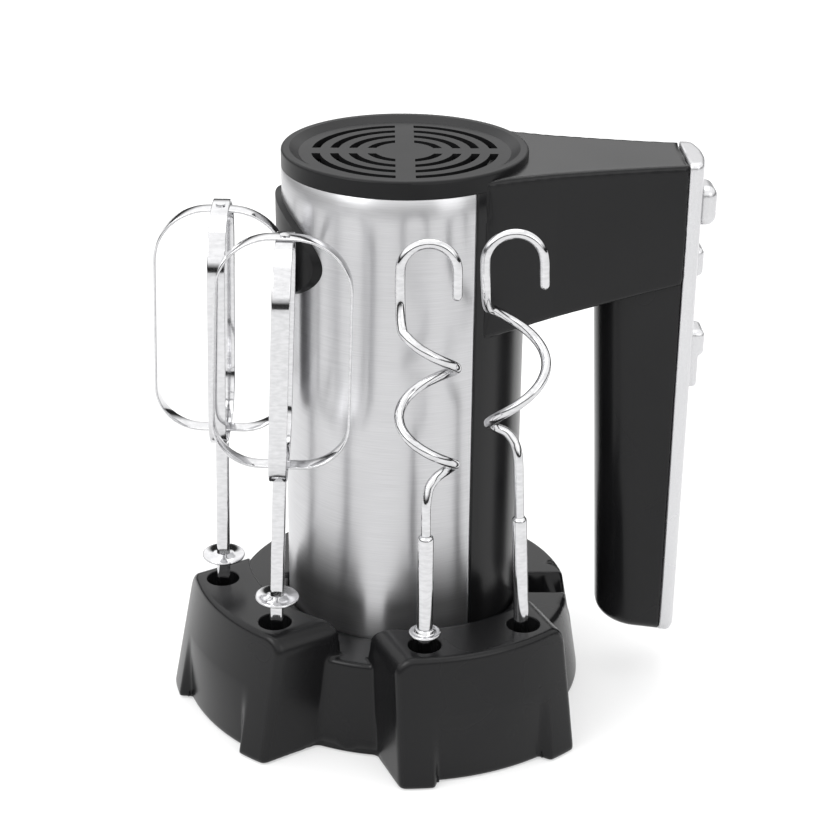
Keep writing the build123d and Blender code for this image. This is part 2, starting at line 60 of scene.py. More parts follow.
def noiseNode(tree, where, scale, detail=3.0, stretch=(1, 1, 1)):
    # cloudy pattern: noise of the point times the stretch times the scale
    mapping = tree.nodes.new("ShaderNodeMapping")
    mapping.inputs["Scale"].default_value = stretch
    noise = tree.nodes.new("ShaderNodeTexNoise")
    noise.inputs["Scale"].default_value = scale
    noise.inputs["Detail"].default_value = detail
    tree.links.new(where.outputs["Object"], mapping.inputs["Vector"])
    tree.links.new(mapping.outputs["Vector"], noise.inputs["Vector"])
    return noise.outputs["Fac"]


def ramp(tree, source, low, high, start=0.35, stop=0.65):
    # straight line from low at start to high at stop, held level beyond both
    node = tree.nodes.new("ShaderNodeMapRange")
    node.inputs["From Min"].default_value = start
    node.inputs["From Max"].default_value = stop
    node.inputs["To Min"].default_value = low
    node.inputs["To Max"].default_value = high
    tree.links.new(source, node.inputs["Value"])
    return node.outputs["Result"]


def mixColour(tree, source, first, second, start=0.35, stop=0.65):
    # first colour where the source is low, second where it is high, a straight mix between
    factor = ramp(tree, source, 0.0, 1.0, start, stop)
    mix = tree.nodes.new("ShaderNodeMix")
    mix.data_type = "RGBA"
    mix.inputs["A"].default_value = (*first, 1)
    mix.inputs["B"].default_value = (*second, 1)
    tree.links.new(factor, mix.inputs["Factor"])
    return mix.outputs["Result"]


def bumpNode(tree, shader, source, strength, distance):
    # tilts the shaded face by the slope of the source times the distance
    bump = tree.nodes.new("ShaderNodeBump")
    bump.inputs["Strength"].default_value = strength
    bump.inputs["Distance"].default_value = distance
    tree.links.new(source, bump.inputs["Height"])
    tree.links.new(bump.outputs["Normal"], shader.inputs["Normal"])


def mouldedPlastic(name, look):
    # broad patches vary the colour and the gloss, and a fine grain roughens the face
    material, tree, shader, where = newMaterial(name)
    broad = noiseNode(tree, where, look["patchScale"])
    grain = noiseNode(tree, where, look["grainScale"], 2.0)
    tree.links.new(mixColour(tree, broad, look["dark"], look["light"]), shader.inputs["Base Color"])
    tree.links.new(ramp(tree, broad, look["smooth"], look["rough"]), shader.inputs["Roughness"])
    shader.inputs["Specular IOR Level"].default_value = look["specular"]
    bumpNode(tree, shader, grain, look["grainStrength"], look["grainDepth"])
    return material


def metal(name, look):
    # stretched noise draws fine lines in colour and relief, and broad patches vary the gloss
    material, tree, shader, where = newMaterial(name)
    broad = noiseNode(tree, where, look["patchScale"])
    lines = noiseNode(tree, where, look["lineScale"], 4.0, look["lineStretch"])
    tree.links.new(mixColour(tree, lines, look["dark"], look["light"]), shader.inputs["Base Color"])
    tree.links.new(ramp(tree, broad, look["smooth"], look["rough"]), shader.inputs["Roughness"])
    shader.inputs["Metallic"].default_value = look["metallic"]
    bumpNode(tree, shader, lines, look["lineStrength"], look["lineDepth"])
    if look.get("brushed"):
        # brushing round the vertical axis stretches reflections up and down
        tangent = tree.nodes.new("ShaderNodeTangent")
        tangent.direction_type, tangent.axis = "RADIAL", "Z"
        tree.links.new(tangent.outputs["Tangent"], shader.inputs["Tangent"])
        shader.inputs["Anisotropic"].default_value = look["brushed"]
        shader.inputs["Anisotropic Rotation"].default_value = 0.25
    return material


plasticLook = {"patchScale": 14.0, "grainScale": 2600.0, "dark": (0.006, 0.006, 0.0065),
               "light": (0.009, 0.009, 0.0095), "smooth": 0.22, "rough": 0.28, "specular": 0.22,
               "grainStrength": 0.12, "grainDepth": 0.00008}
capLook = dict(plasticLook, smooth=0.34, rough=0.4, specular=0.16, dark=(0.007, 0.007, 0.0075),
               light=(0.010, 0.010, 0.0105))
rubberLook = dict(plasticLook, smooth=0.75, rough=0.85, specular=0.3)
innerLook = dict(plasticLook, dark=(0.03, 0.03, 0.032), light=(0.05, 0.05, 0.052), smooth=0.5, rough=0.6)
nylonLook = dict(plasticLook, dark=(0.62, 0.6, 0.54), light=(0.72, 0.7, 0.63), smooth=0.4, rough=0.5)
copperLook = {"patchScale": 60.0, "lineScale": 900.0, "lineStretch": (1, 1, 8), "dark": (0.45, 0.16, 0.07),
              "light": (0.6, 0.25, 0.12), "smooth": 0.3, "rough": 0.42, "metallic": 0.9, "lineStrength": 0.3,
              "lineDepth": 0.0002}
sleeveLook = {"patchScale": 9.0, "lineScale": 60.0, "lineStretch": (1, 1, 60), "dark": (0.50, 0.50, 0.51),
              "light": (0.56, 0.56, 0.57), "smooth": 0.30, "rough": 0.34, "metallic": 1.0,
              "lineStrength": 0.05, "lineDepth": 0.00003, "brushed": 0.7}
silverLook = {"patchScale": 20.0, "lineScale": 2400.0, "lineStretch": (1, 1, 1), "dark": (0.55, 0.55, 0.56),
              "light": (0.62, 0.62, 0.63), "smooth": 0.26, "rough": 0.32, "metallic": 0.9,
              "lineStrength": 0.05, "lineDepth": 0.00003}
chromeLook = {"patchScale": 40.0, "lineScale": 300.0, "lineStretch": (1, 1, 3), "dark": (0.54, 0.54, 0.55),
              "light": (0.62, 0.62, 0.63), "smooth": 0.08, "rough": 0.12, "metallic": 1.0,
              "lineStrength": 0.01, "lineDepth": 0.00002}
steelLook = dict(chromeLook, dark=(0.42, 0.42, 0.43), light=(0.52, 0.52, 0.53), smooth=0.28, rough=0.36)
ironLook = dict(chromeLook, dark=(0.2, 0.2, 0.21), light=(0.27, 0.27, 0.28), smooth=0.4, rough=0.5,
                lineScale=400.0, lineStretch=(0.1, 0.1, 6))

materials = {
    "black_satin": mouldedPlastic("blackSatin", plasticLook),
    "black_cap": mouldedPlastic("blackCap", capLook),
    "rubber": mouldedPlastic("rubber", rubberLook),
    "inner_plastic": mouldedPlastic("innerPlastic", innerLook),
    "nylon_wheel": mouldedPlastic("nylonWheel", nylonLook),
    "carbon": mouldedPlastic("carbon", rubberLook),
    "screw_steel": metal("screwSteel", steelLook),
    "bearing_steel": metal("bearingSteel", steelLook),
    "lamination": metal("lamination", ironLook),
    "copper": metal("copper", copperLook),
    "brushed_sleeve": metal("brushedSleeve", sleeveLook),
    "silver_satin": metal("silverSatin", silverLook),
    "chrome": metal("chrome", chromeLook),
}
slotOf = {s["node"]: s["material_slot"] for s in frame["record"]["subparts"]}
for name, piece in nodes.items():
    piece.data.materials.clear()
    piece.data.materials.append(materials[slotOf[name]])
print("materials set")


# Geometry helpers: every new piece is a grid of points worked out in millimetres

def addMesh(name, points, faces, slotName, body, hides):
    # one smooth piece on a body, standing in for the nodes it hides
    mesh = bpy.data.meshes.new(name)
    mesh.from_pydata((np.asarray(points) * millimetre).tolist(), [], faces)
    mesh.polygons.foreach_set("use_smooth", [True] * len(mesh.polygons))
    mesh.materials.append(materials[slotName])
    mesh.update()
    piece = bpy.data.objects.new(name, mesh)
    bpy.context.scene.collection.objects.link(piece)
    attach(piece, body)
    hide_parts(*hides)
    return piece


def gridFaces(rows, columns, closedRows, closedColumns):
    # quads of a grid: a point, the next in its row, and the two beyond them; closed directions wrap round
    i = np.arange(rows if closedRows else rows - 1)[:, None]
    j = np.arange(columns if closedColumns else columns - 1)[None, :]
    nextI, nextJ = (i + 1) % rows, (j + 1) % columns
    corners = [i * columns + j, i * columns + nextJ, nextI * columns + nextJ, nextI * columns + j]
    return [tuple(f) for f in np.stack(corners, 2).reshape(-1, 4).tolist()]


def withoutRepeats(faces):
    # a quad with two corners at a pole becomes a triangle
    faces = [tuple(v for i, v in enumerate(f) if v != f[i - 1]) for f in faces]
    return [f for f in faces if len(f) > 2]


def ringPoints(radius, height, angle, centre=(0, 0)):
    # x and y are the centre plus the radius times the cosine and sine of the angle
    x, y = centre[0] + radius * np.cos(angle), centre[1] + radius * np.sin(angle)
    return np.stack([x, y, np.full(len(angle), float(height))], 1)


def lathe(profile, segments, centre=(0, 0)):
    # turns (radius, height) points about an upright line; a radius of 0 is a pole, which is one point
    angle = np.linspace(0, 2 * np.pi, segments, endpoint=False)
    points, faces, rings = np.zeros((0, 3)), [], []
    for r, z in profile:
        turn = angle if r > 0 else angle[:1]
        rings.append(len(points) + np.arange(segments) % len(turn))
        points = np.vstack([points, ringPoints(r, z, turn, centre)])
    for low, high in zip(rings, rings[1:]):
        faces += np.stack([low, np.roll(low, -1), np.roll(high, -1), high], 1).tolist()
    return points, withoutRepeats(faces)


def joined(parts):
    # several point and face sets as one: each set's faces count on from the points before it
    points, faces = [], []
    for p, f in parts:
        base = sum(len(q) for q in points)
        points.append(np.asarray(p))
        faces += [tuple(v + base for v in face) for face in f]
    return np.vstack(points), faces


def smoothPath(controls, count, closed=False):
    # Catmull-Rom curve: between two controls a cubic, whose slope at each is half the way between its two
    # neighbours, then resampled at equal lengths
    p = np.asarray(controls, float)
    p = np.vstack([p[-1], p, p[0], p[1]]) if closed else np.vstack([2 * p[0] - p[1], p, 2 * p[-1] - p[-2]])
    t = np.linspace(0, 1, 24, endpoint=False)[:, None]
    fine = []
    for a, b, c, d in zip(p, p[1:], p[2:], p[3:]):
        square, cube = 2 * a - 5 * b + 4 * c - d, 3 * b - a - 3 * c + d
        fine.append(0.5 * (2 * b + (c - a) * t + square * t**2 + cube * t**3))
    fine = np.vstack(fine + [p[-2:-1]])
    length = np.concatenate([[0], np.cumsum(np.linalg.norm(np.diff(fine, axis=0), axis=1))])
    at = np.linspace(0, length[-1], count, endpoint=not closed)
    return np.stack([np.interp(at, length, fine[:, k]) for k in range(3)], 1)


def tube(path, radii, around=20):
    # a circle carried along the path, its frame turned as little as possible; a flat face closes each end
    path, radii = np.asarray(path, float), np.asarray(radii, float)
    along = np.gradient(path, axis=0)
    along /= np.linalg.norm(along, axis=1)[:, None]
    angle = np.linspace(0, 2 * np.pi, around, endpoint=False)[:, None]
    side = np.cross(along[0], (0.3, 0.9, 0.1))  # any direction that isn't the path's own
    rings = []
    for p, t, r in zip(path, along, radii):
        side = side - t * (side @ t)
        side /= np.linalg.norm(side)
        rings.append(p + r * (np.cos(angle) * side + np.sin(angle) * np.cross(t, side)))
    faces = gridFaces(len(path), around, False, True)
    faces.append(tuple(reversed(range(around))))
    faces.append(tuple(range((len(path) - 1) * around, len(path) * around)))
    return np.vstack(rings), faces


def placed(points, spot, lean):
    # leans a piece about its foot, about Y by the first angle and then about X by minus the second, and moves
    # it to its spot
    ax, ay = math.radians(lean[0]), math.radians(-lean[1])
    turnX = np.array([[1, 0, 0], [0, math.cos(ay), -math.sin(ay)], [0, math.sin(ay), math.cos(ay)]])
    turnY = np.array([[math.cos(ax), 0, math.sin(ax)], [0, 1, 0], [-math.sin(ax), 0, math.cos(ax)]])
    foot = np.array([0, 0, accessoryLook["tip"]])
    return (np.asarray(points) - foot) @ (turnX @ turnY).T + foot + np.array([spot[0], spot[1], 0])


def polar(radius, degrees):
    # x and y of a point at a radius and an angle
    return radius * math.cos(math.radians(degrees)), radius * math.sin(math.radians(degrees))


def firstCrossing(isOutside, shape, step, reach, halvings=16):
    # goes out along each ray in equal steps to its last inside point, then halves the next step again and again
    low, found = np.zeros(shape), np.zeros(shape, bool)
    for k in range(1, int(reach / step)):
        outside = isOutside(np.full(shape, k * step))
        low = np.where(~found & ~outside, k * step, low)
        found |= outside
    high = low + step
    for _ in range(halvings):
        middle = (low + high) / 2
        outside = isOutside(middle)
        low, high = np.where(outside, low, middle), np.where(outside, middle, high)
    return low


# Stand shell: rays from a ring inside the wall meet a rounded union of a drum and two lobes

standLook = {"lowRadius": 79.0, "topRadius": 72.6, "top": 40.0, "lobeTop": 55.0, "lobeInner": 67.0,
             "lobeHalf": 39.5, "draft": 0.035, "stepDepth": 4.0, "footLow": 102.5, "footTop": 91.7,
             "panelDepth": 5.3, "panelHeight": 31.0, "panelEdge": (22.0, 27.0), "panelFade": 1.3,
             "well": 50.6, "wellFloor": 8.0, "slotHalf": 8.0, "slotFloor": 25.0, "underside": 0.8,
             "lobeAngles": (-147.0, -68.0), "holeRadius": 6.75, "holeFloor": 38.0, "holeEdge": 0.5,
             "holeCatch": 0.35, "cupLip": ((0, -0.5), (0.15, -0.15), (0.5, 0), (1.1, -0.02))}
standRounds = {"drum": 1.8, "lobeSide": 8.0, "lobeFace": 2.0, "lobeStep": 1.0, "join": 1.6, "well": 1.0,
               "slot": 1.6, "underside": 0.5}
# where the rays start: a ring, pushed out and down beside the slot, out and up within the lobes
standRays = {"radius": 66.0, "slotOut": 9.4, "lobeOut": 5.2, "height": 20.0, "slotDown": 6.0, "lobeUp": 12.0,
             "slotReach": 16.0, "slotFade": 6.0, "lobeReach": 44.0, "lobeFade": 8.0, "step": 0.5, "reach": 75.0,
             "columns": ((12, 176, 2.0), (176, 332, 0.4), (332, 372, 0.8)), "lowRows": 96, "highRows": 74,
             "backRows": 22, "split": 58.0, "highStep": 0.0115, "highTurn": 0.98,
             "edgeFrom": 60.0, "edgeStep": 0.9, "edgeSteps": 60}
accessoryLook = {"tip": 38.3,
                 "spots": {"beaterLeft": polar(80.8, -163), "beaterRight": polar(80.8, -131),
                           "hookLeft": polar(80.0, -84), "hookRight": polar(80.0, -52)},
                 "lean": {"beaterLeft": (1.5, -1.7), "beaterRight": (2.3, -0.8), "hookLeft": (0, 0),
                          "hookRight": (-2.6, 0)}}


def roundedAnd(a, b, r):
    # both conditions hold, with the meeting edge rounded to radius r
    return np.minimum(-r, np.maximum(a, b)) + np.hypot(np.maximum(a + r, 0), np.maximum(b + r, 0))


def roundedOr(a, b, r):
    # either condition holds, with the inside corner filled to radius r
    return np.maximum(r, np.minimum(a, b)) - np.hypot(np.maximum(r - a, 0), np.maximum(r - b, 0))


def standField(x, y, z):
    # negative inside: a tapering drum joined with two tapering lobes, less the well, the slot and what is below
    s, edge = standLook, standRounds
    rho = np.hypot(x, y)
    slope = (s["lowRadius"] - s["topRadius"]) / s["top"]
    field = roundedAnd(rho - (s["lowRadius"] - slope * z), z - s["top"], edge["drum"])
    for angle in s["lobeAngles"]:
        a = math.radians(angle)
        across = np.abs(-x * math.sin(a) + y * math.cos(a))
        outer = s["footLow"] - (s["footLow"] - s["footTop"]) * z / s["lobeTop"]
        fade = np.clip((s["panelEdge"][1] - across) / (s["panelEdge"][1] - s["panelEdge"][0]), 0, 1)
        deep = np.clip(1 - z / s["panelHeight"], 0, 1)
        outer = outer - s["panelDepth"] * fade * fade * (3 - 2 * fade) * deep ** s["panelFade"]
        lobe = roundedAnd(across - (s["lobeHalf"] - s["draft"] * z), z - s["lobeTop"], edge["lobeSide"])
        lobe = roundedAnd(lobe, rho - outer, edge["lobeFace"])
        lobe = np.maximum(lobe, -(x * math.cos(a) + y * math.sin(a)))
        stepped = roundedAnd(lobe, s["lobeInner"] - rho, edge["lobeStep"])
        lobe = np.where(z > s["top"] - s["stepDepth"], stepped, lobe)
        field = roundedOr(field, lobe, edge["join"])
    field = roundedAnd(field, s["well"] - rho, edge["well"])
    slot = np.maximum(np.maximum(np.abs(y) - s["slotHalf"], s["slotFloor"] - z), -x)
    field = roundedAnd(field, -slot, edge["slot"])
    return roundedAnd(field, s["underside"] - z, edge["underside"])


def standRayStarts(theta):
    # the ring's radius and height at each angle, with the pushes faded in over a few degrees
    s = standRays
    fromSlot = np.abs((theta + 180) % 360 - 180)[:, None]
    inSlot = np.clip((s["slotReach"] - fromSlot) / s["slotFade"], 0, 1)
    inLobe = np.zeros_like(fromSlot)
    for angle in standLook["lobeAngles"]:
        fromLobe = np.abs((theta - angle + 180) % 360 - 180)[:, None]
        inLobe = np.maximum(inLobe, np.clip((s["lobeReach"] - fromLobe) / s["lobeFade"], 0, 1))
    radius = s["radius"] + s["slotOut"] * inSlot + s["lobeOut"] * inLobe
    return radius, s["height"] - s["slotDown"] * inSlot + s["lobeUp"] * inLobe


def standRayPitch(t, startR, startZ):
    # each column's rays turn once round its start, from the bottom outer edge, closer together above the split
    s = standRays
    nearFloor = standLook["underside"] * 2
    edge = np.full_like(startR, s["edgeFrom"])
    for _ in range(s["edgeSteps"]):
        edge = edge + np.where(standField(edge * np.cos(t), edge * np.sin(t), nearFloor) < 0, s["edgeStep"], 0.0)
    for _ in range(2):
        edge = edge - standField(edge * np.cos(t), edge * np.sin(t), nearFloor)
    first = np.arctan2(standLook["underside"] - startZ, edge - startR)
    split = math.radians(s["split"])
    rising = first + (split - first) * np.linspace(0, 1, s["lowRows"], endpoint=False)
    over = split + np.arange(s["highRows"]) * s["highStep"] * math.pi * s["highTurn"] + 0 * first
    last = over[:, -1:]
    back = last + (first + 2 * math.pi - last) * np.linspace(0, 1, s["backRows"])[1:-1]
    return np.hstack([rising, over, back])


def makeStand():
    # a point is its ray's start plus the ray's length times its outward and upward shares
    s = standLook
    theta = np.concatenate([np.arange(*span) for span in standRays["columns"]])
    t = np.radians(theta)[:, None]
    startR, startZ = standRayStarts(theta)
    pitch = standRayPitch(t, startR, startZ)

    def at(length):
        r, z = startR + length * np.cos(pitch), startZ + length * np.sin(pitch)
        return r * np.cos(t), r * np.sin(t), z

    length = firstCrossing(lambda d: standField(*at(d)) > 0, pitch.shape, standRays["step"], standRays["reach"])
    points = np.stack(at(length), 2).reshape(-1, 3)
    faces = gridFaces(*pitch.shape, True, True)
    # the accessory holes: points inside a rim move out to it, and the faces left without area go
    onRim = np.zeros(len(points), bool)
    radius, top, nearTop = s["holeRadius"], s["lobeTop"], s["lobeTop"] - 5.0
    rim = radius + s["holeEdge"]
    spots = accessoryLook["spots"].values()
    for spot in spots:
        away = points[:, :2] - spot
        distance = np.hypot(away[:, 0], away[:, 1])
        inside = (distance < rim + s["holeCatch"]) & (points[:, 2] > nearTop)
        points[inside, :2] = np.array(spot) + away[inside] / distance[inside][:, None] * rim
        onRim |= inside
    faces = [f for f in faces if not all(onRim[v] for v in f)]
    # closed cups below the rims, and the well's floor
    cup = [(0, s["holeFloor"]), (radius, s["holeFloor"])] + [(radius + out, top + up) for out, up in s["cupLip"]]
    extra = [lathe(cup, 40, spot) for spot in spots]
    extra.append(lathe([(0, s["wellFloor"]), (s["well"] + 1.5, s["wellFloor"])], 96))
    points, faces = joined([(points, faces)] + [(p, [f[::-1] for f in cupFaces]) for p, cupFaces in extra])
    return addMesh("standSkin", points, faces, "black_satin", "stand", ["stand_shell"])


# Beaters: a strip of rounded section carried round a tall loop

beaterLook = {"half": 26.6, "low": 127.0, "top": 223.2, "strip": 7.0, "thick": 1.0, "corner": 0.45,
              "topCorner": 22.0, "lowCorner": 18.5, "taper": -0.6, "discRadius": 9.0, "discHeight": 67.0,
              "discThick": 1.2, "discEdge": 0.5, "discBevel": (0.12, 0.15), "bossLow": 4.6, "bossTop": 3.9,
              "bossHeight": 0.9}


def loopPath(low, top, half, count=220):
    # centre line: straight sides leaning by the taper, and a quarter circle at each corner, whose points are
    # its centre plus its radius times the sine and cosine of the angle
    b = beaterLook
    c, d = b["topCorner"], b["lowCorner"]
    lowHalf = half - b["taper"]
    quarter = np.radians(np.arange(0, 91, 7.5))
    right = [(0, top)] + [(half - c + c * math.sin(a), top - c + c * math.cos(a)) for a in quarter]
    right += [(lowHalf - d + d * math.cos(a), low + d - d * math.sin(a)) for a in quarter] + [(0, low)]
    left = [(-x, z) for x, z in reversed(right[1:-1])]
    ring = np.array(right + left + right[:1])
    length = np.concatenate([[0], np.cumsum(np.hypot(*np.diff(ring, axis=0).T))])
    at = np.linspace(0, length[-1], count, endpoint=False)
    return np.stack([np.interp(at, length, ring[:, 0]), np.interp(at, length, ring[:, 1])], 1)


def stripSection(width, thick, corner):
    # rounded rectangle as (outward, across) offsets: each corner's centre plus the cosine and sine of its angle
    arc = np.arange(0, 91, 22)
    outSign, acrossSign = np.repeat([1, -1, -1, 1], len(arc)), np.repeat([1, 1, -1, -1], len(arc))
    angle = np.radians(np.add.outer([0, 90, 180, 270], arc).ravel())
    out = outSign * (thick / 2 - corner) + corner * np.cos(angle)
    return out, acrossSign * (width / 2 - corner) + corner * np.sin(angle)


def makeLoop(who, low, top, turned):
    # a point is the path's point plus the section's first offset along the path's normal, and its second offset
    # square to the loop
    b = beaterLook
    path = loopPath(low + b["thick"] / 2, top - b["thick"] / 2, b["half"] - b["thick"] / 2)
    along = np.roll(path, -1, axis=0) - np.roll(path, 1, axis=0)
    along /= np.linalg.norm(along, axis=1)[:, None]
    out, across = stripSection(b["strip"], b["thick"], b["corner"])
    x = path[:, :1] - out * along[:, 1:]
    z = path[:, 1:] + out * along[:, :1]
    y = across + 0 * x
    grid = [-y, x, z] if turned else [x, y, z]
    points = placed(np.stack(grid, 2).reshape(-1, 3), accessoryLook["spots"][who], accessoryLook["lean"][who])
    return points, gridFaces(len(path), len(out), True, True)


def discProfile():
    # flat disc with a bevelled rim and a low boss on top
    b = beaterLook
    h, t, r, edge, boss = b["discHeight"], b["discThick"] / 2, b["discRadius"], b["discEdge"], b["bossHeight"]
    inset, drop = b["discBevel"]
    low = [(0, h - t), (r - edge, h - t), (r - inset, h - t + drop), (r, h)]
    high = [(r - inset, h + t - drop), (r - edge, h + t), (b["bossLow"], h + t), (b["bossTop"], h + t + boss)]
    return low + high + [(0, h + t + boss)]


def makeBeaters():
    # two crossed loops, one strip thickness apart where they cross, and a turned disc
    b = beaterLook
    for who, body, over in (("beaterLeft", "beater_left", 1), ("beaterRight", "beater_right", -1)):
        points, faces = makeLoop(who, b["low"], b["top"], False)
        addMesh(who + "FaceLoop", points, faces, "chrome", body, [body + "_face_loop"])
        points, faces = makeLoop(who, b["low"] - b["thick"], b["top"] + over * b["thick"], True)
        addMesh(who + "SideLoop", points, faces, "chrome", body, [body + "_side_loop"])
        points, faces = lathe(discProfile(), 72)
        points = placed(points, accessoryLook["spots"][who], accessoryLook["lean"][who])
        addMesh(who + "Disc", points, faces, "chrome", body, [body + "_disc"])


# Dough hooks: a wire with a round bend at its end, then a coil, then a thicker ferrule

hookLook = {"wire": 1.95, "around": 24, "pathPoints": 420, "tipRows": 5, "neck": 118.0, "neckRun": 7.0,
            "ferruleTop": 104.6, "wireSunk": 2.0,
            "leftFerrule": 3.25, "rightFerrule": 3.05, "ferruleFoot": ((1.2, 0), (0.2, 1.2), (0, 2.2)),
            "ferruleEdge": ((0, -1.6), (0.25, -0.7), (0.8, -0.15)),
            "leftBend": (10.6, 203.0, 225.6, 203.0), "rightBend": (11.2, 201.5, 224.2, 203.0),
            "leftCoil": (10.8, -180, 360, 196.0, 135.4), "rightCoil": (11.4, 180, -180, 197.0, 146.3),
            "leftTail": [(8.1, 3.6, 131.6), (4.2, 4.2, 128.2), (1.2, 2.2, 124.4)],
            "rightTail": [(-8.9, 3.4, 143.0), (-4.3, 4.0, 140.2), (-1.2, 2.4, 136.2), (0, 0.4, 130.0)],
            "collarHeight": 61.2,
            "collarRim": ((5.9, -1.2), (6.4, -0.9), (6.5, -0.3), (6.2, 0.15), (5.4, 0.1)),
            "collarNeck": ((4.6, -0.1), (4.2, 0.5), (4.0, 1.4), (3.6, 1.8))}


def bendPoints(half, tip, crown, foot):
    # up from the tip, half a circle over the top, whose points are its centre plus the half width times the
    # cosine and sine of the angle, and down the other side
    middle = crown - half
    points = [(half, 0, tip), (half, 0, (tip + middle) / 2)]
    points += [(half * math.cos(a), 0, middle + half * math.sin(a)) for a in np.linspace(0, math.pi, 9)]
    return points + [(-half, 0, foot)]


def coilPoints(radius, start, stop, high, low, spacing=22):
    # helix: radius times cosine and sine of the angle, height falling evenly
    turns = np.linspace(0, 1, int(abs(stop - start) / spacing) + 1)
    angle = np.radians(start + (stop - start) * turns)
    return np.stack([radius * np.cos(angle), radius * np.sin(angle), high + (low - high) * turns], 1).tolist()


def hookWire(side):
    # a tube along the bend, the coil and the tail; its tip's radii follow a quarter circle
    k = hookLook
    controls = bendPoints(*k[side + "Bend"]) + coilPoints(*k[side + "Coil"])[1:] + k[side + "Tail"]
    controls += [(0, 0, k["neck"]), (0, 0, k["neck"] - k["neckRun"]), (0, 0, k["ferruleTop"] - k["wireSunk"])]
    path = smoothPath(controls, k["pathPoints"])
    radii = np.full(len(path), k["wire"])
    rows = k["tipRows"]
    short = 1 - np.arange(rows) / (rows - 1)
    radii[:rows] *= np.sqrt(np.clip(1 - short**2, 0.02, 1))
    outward = path[rows - 1] - path[2 * rows - 2]
    path[:rows] = path[rows - 1] + outward / np.linalg.norm(outward) * (k["wire"] * short)[:, None]
    return tube(path, radii, k["around"])


def makeHooks():
    # a wire and a turned ferrule for each hook, and a turned collar on the left one
    k = hookLook
    for side in ("left", "right"):
        who, body = "hook" + side.capitalize(), "hook_" + side
        spot, lean = accessoryLook["spots"][who], accessoryLook["lean"][who]
        points, faces = hookWire(side)
        addMesh(who + "Wire", placed(points, spot, lean), faces, "chrome", body, [body + "_wire"])
        r, top, low = k[side + "Ferrule"], k["ferruleTop"], accessoryLook["tip"]
        profile = [(0, low)] + [(r - inset, low + up) for inset, up in k["ferruleFoot"]]
        profile += [(r - inset, top + up) for inset, up in k["ferruleEdge"]]
        points, faces = lathe(profile + [(k["wire"] + 0.2, top + 0.1), (0, top + 0.1)], 40)
        addMesh(who + "Ferrule", placed(points, spot, lean), faces, "chrome", body, [body + "_ferrule"])
    r, h = k["leftFerrule"], k["collarHeight"]
    outside = [(radius, h + up) for radius, up in k["collarRim"] + k["collarNeck"]]
    points, faces = lathe([(r, outside[0][1])] + outside + [(r, outside[-1][1])], 56)
    points = placed(points, accessoryLook["spots"]["hookLeft"], (0, 0))
    addMesh("hookLeftCollar", points, faces, "chrome", "hook_left", ["hook_left_collar"])


# Handle and body skins: rays from a spine inside each form meet its rounded surface

bodyLook = {"radius": 50.0, "spineRadius": 49.9, "coreRadius": 48.8, "low": 12.0, "high": 232.78, "seam": 56.7,
            "sleeveThick": 0.8, "coreThick": 2.0, "spineThick": 3.0, "seamGap": 0.25, "capLap": 4.0,
            "armPlan": ((20, 31, 45, 60, 78, 97, 113), (43.0, 39.0, 33.8, 28.6, 24.2, 20.2, 17.6)),
            "armTop": 237.0, "armStart": 30.0, "armLow": 164.6, "armSlope": 0.195, "armTopEdge": 1.3,
            "armLowEdge": 2.0, "armSpine": ((42, 104, 64), 205.0), "back": 113.0,
            "gripHalf": 16.6, "gripFoot": 24.0, "gripFront": (86.6, 0.0479), "gripRound": 15.5,
            "gripLow": (23.6, 0.13), "gripLowEdge": 6.0, "gripTop": 196.0, "gripSpine": ((40, 180, 60), 102.0, 0.02),
            "trimOut": 120.8, "trimHalf": 17.5, "trimSpan": (150.0, 236.0), "trimDome": 2.4, "trimDomeHalf": 17.0,
            "trimEdge": 2.6, "trimTop": 237.6, "trimTopEdge": 1.6, "trimLowEdge": 5.5,
            "trimSpine": ((34, 226, 90), 117.2), "pocket": (208.25, 225.35, 8.75, 113.3)}


def armField(x, y, z):
    # negative inside a tapering block with a flat top and a sloping underside, cut away under the cap
    b = bodyLook
    half = np.interp(x, *b["armPlan"])
    field = roundedAnd(np.abs(y) - half, z - b["armTop"], b["armTopEdge"])
    field = roundedAnd(field, b["armLow"] + b["armSlope"] * x - z, b["armLowEdge"])
    field = roundedAnd(field, x - b["back"] + 0.02, 0.1)
    underCap = np.minimum(z - b["high"], b["radius"] - b["capLap"] - np.hypot(x, y))
    return np.maximum(np.maximum(field, b["armStart"] - x), underCap)


def gripLowAt(x):
    # the grip's foot rises evenly towards the body
    return bodyLook["gripLow"][0] + bodyLook["gripLow"][1] * (bodyLook["back"] - x)


def gripField(x, y, z):
    # negative inside an upright bar, round on the finger side and flat where the trim sits
    b = bodyLook
    front = b["gripFront"][0] - b["gripFront"][1] * (z - b["gripFoot"])
    field = roundedAnd(np.abs(y) - b["gripHalf"], front - x, b["gripRound"])
    field = roundedAnd(field, gripLowAt(x) - z, b["gripLowEdge"])
    field = roundedAnd(field, x - b["back"] + 0.06, 0.25)
    return np.maximum(field, z - b["gripTop"])


def trimField(x, y, z):
    # negative inside a shallow dome, its height falling with the square of y, with round shoulders and ends
    b = bodyLook
    half = np.interp(z, b["trimSpan"], (b["gripHalf"] + 0.1, b["trimHalf"]))
    out = b["trimOut"] - b["trimDome"] * (y / b["trimDomeHalf"]) ** 2
    field = roundedAnd(np.abs(y) - half, x - out, b["trimEdge"])
    field = roundedAnd(field, z - b["trimTop"], b["trimTopEdge"])
    field = roundedAnd(field, gripLowAt(x) - z, b["trimLowEdge"])
    return roundedAnd(field, b["back"] - x, 0.25)


def boxField(middle, half, edge):
    # negative inside an upright box with all its edges rounded
    def field(x, y, z):
        inside = roundedAnd(np.abs(x - middle[0]) - half[0], np.abs(y - middle[1]) - half[1], edge)
        return roundedAnd(inside, np.abs(z - middle[2]) - half[2], edge)
    return field


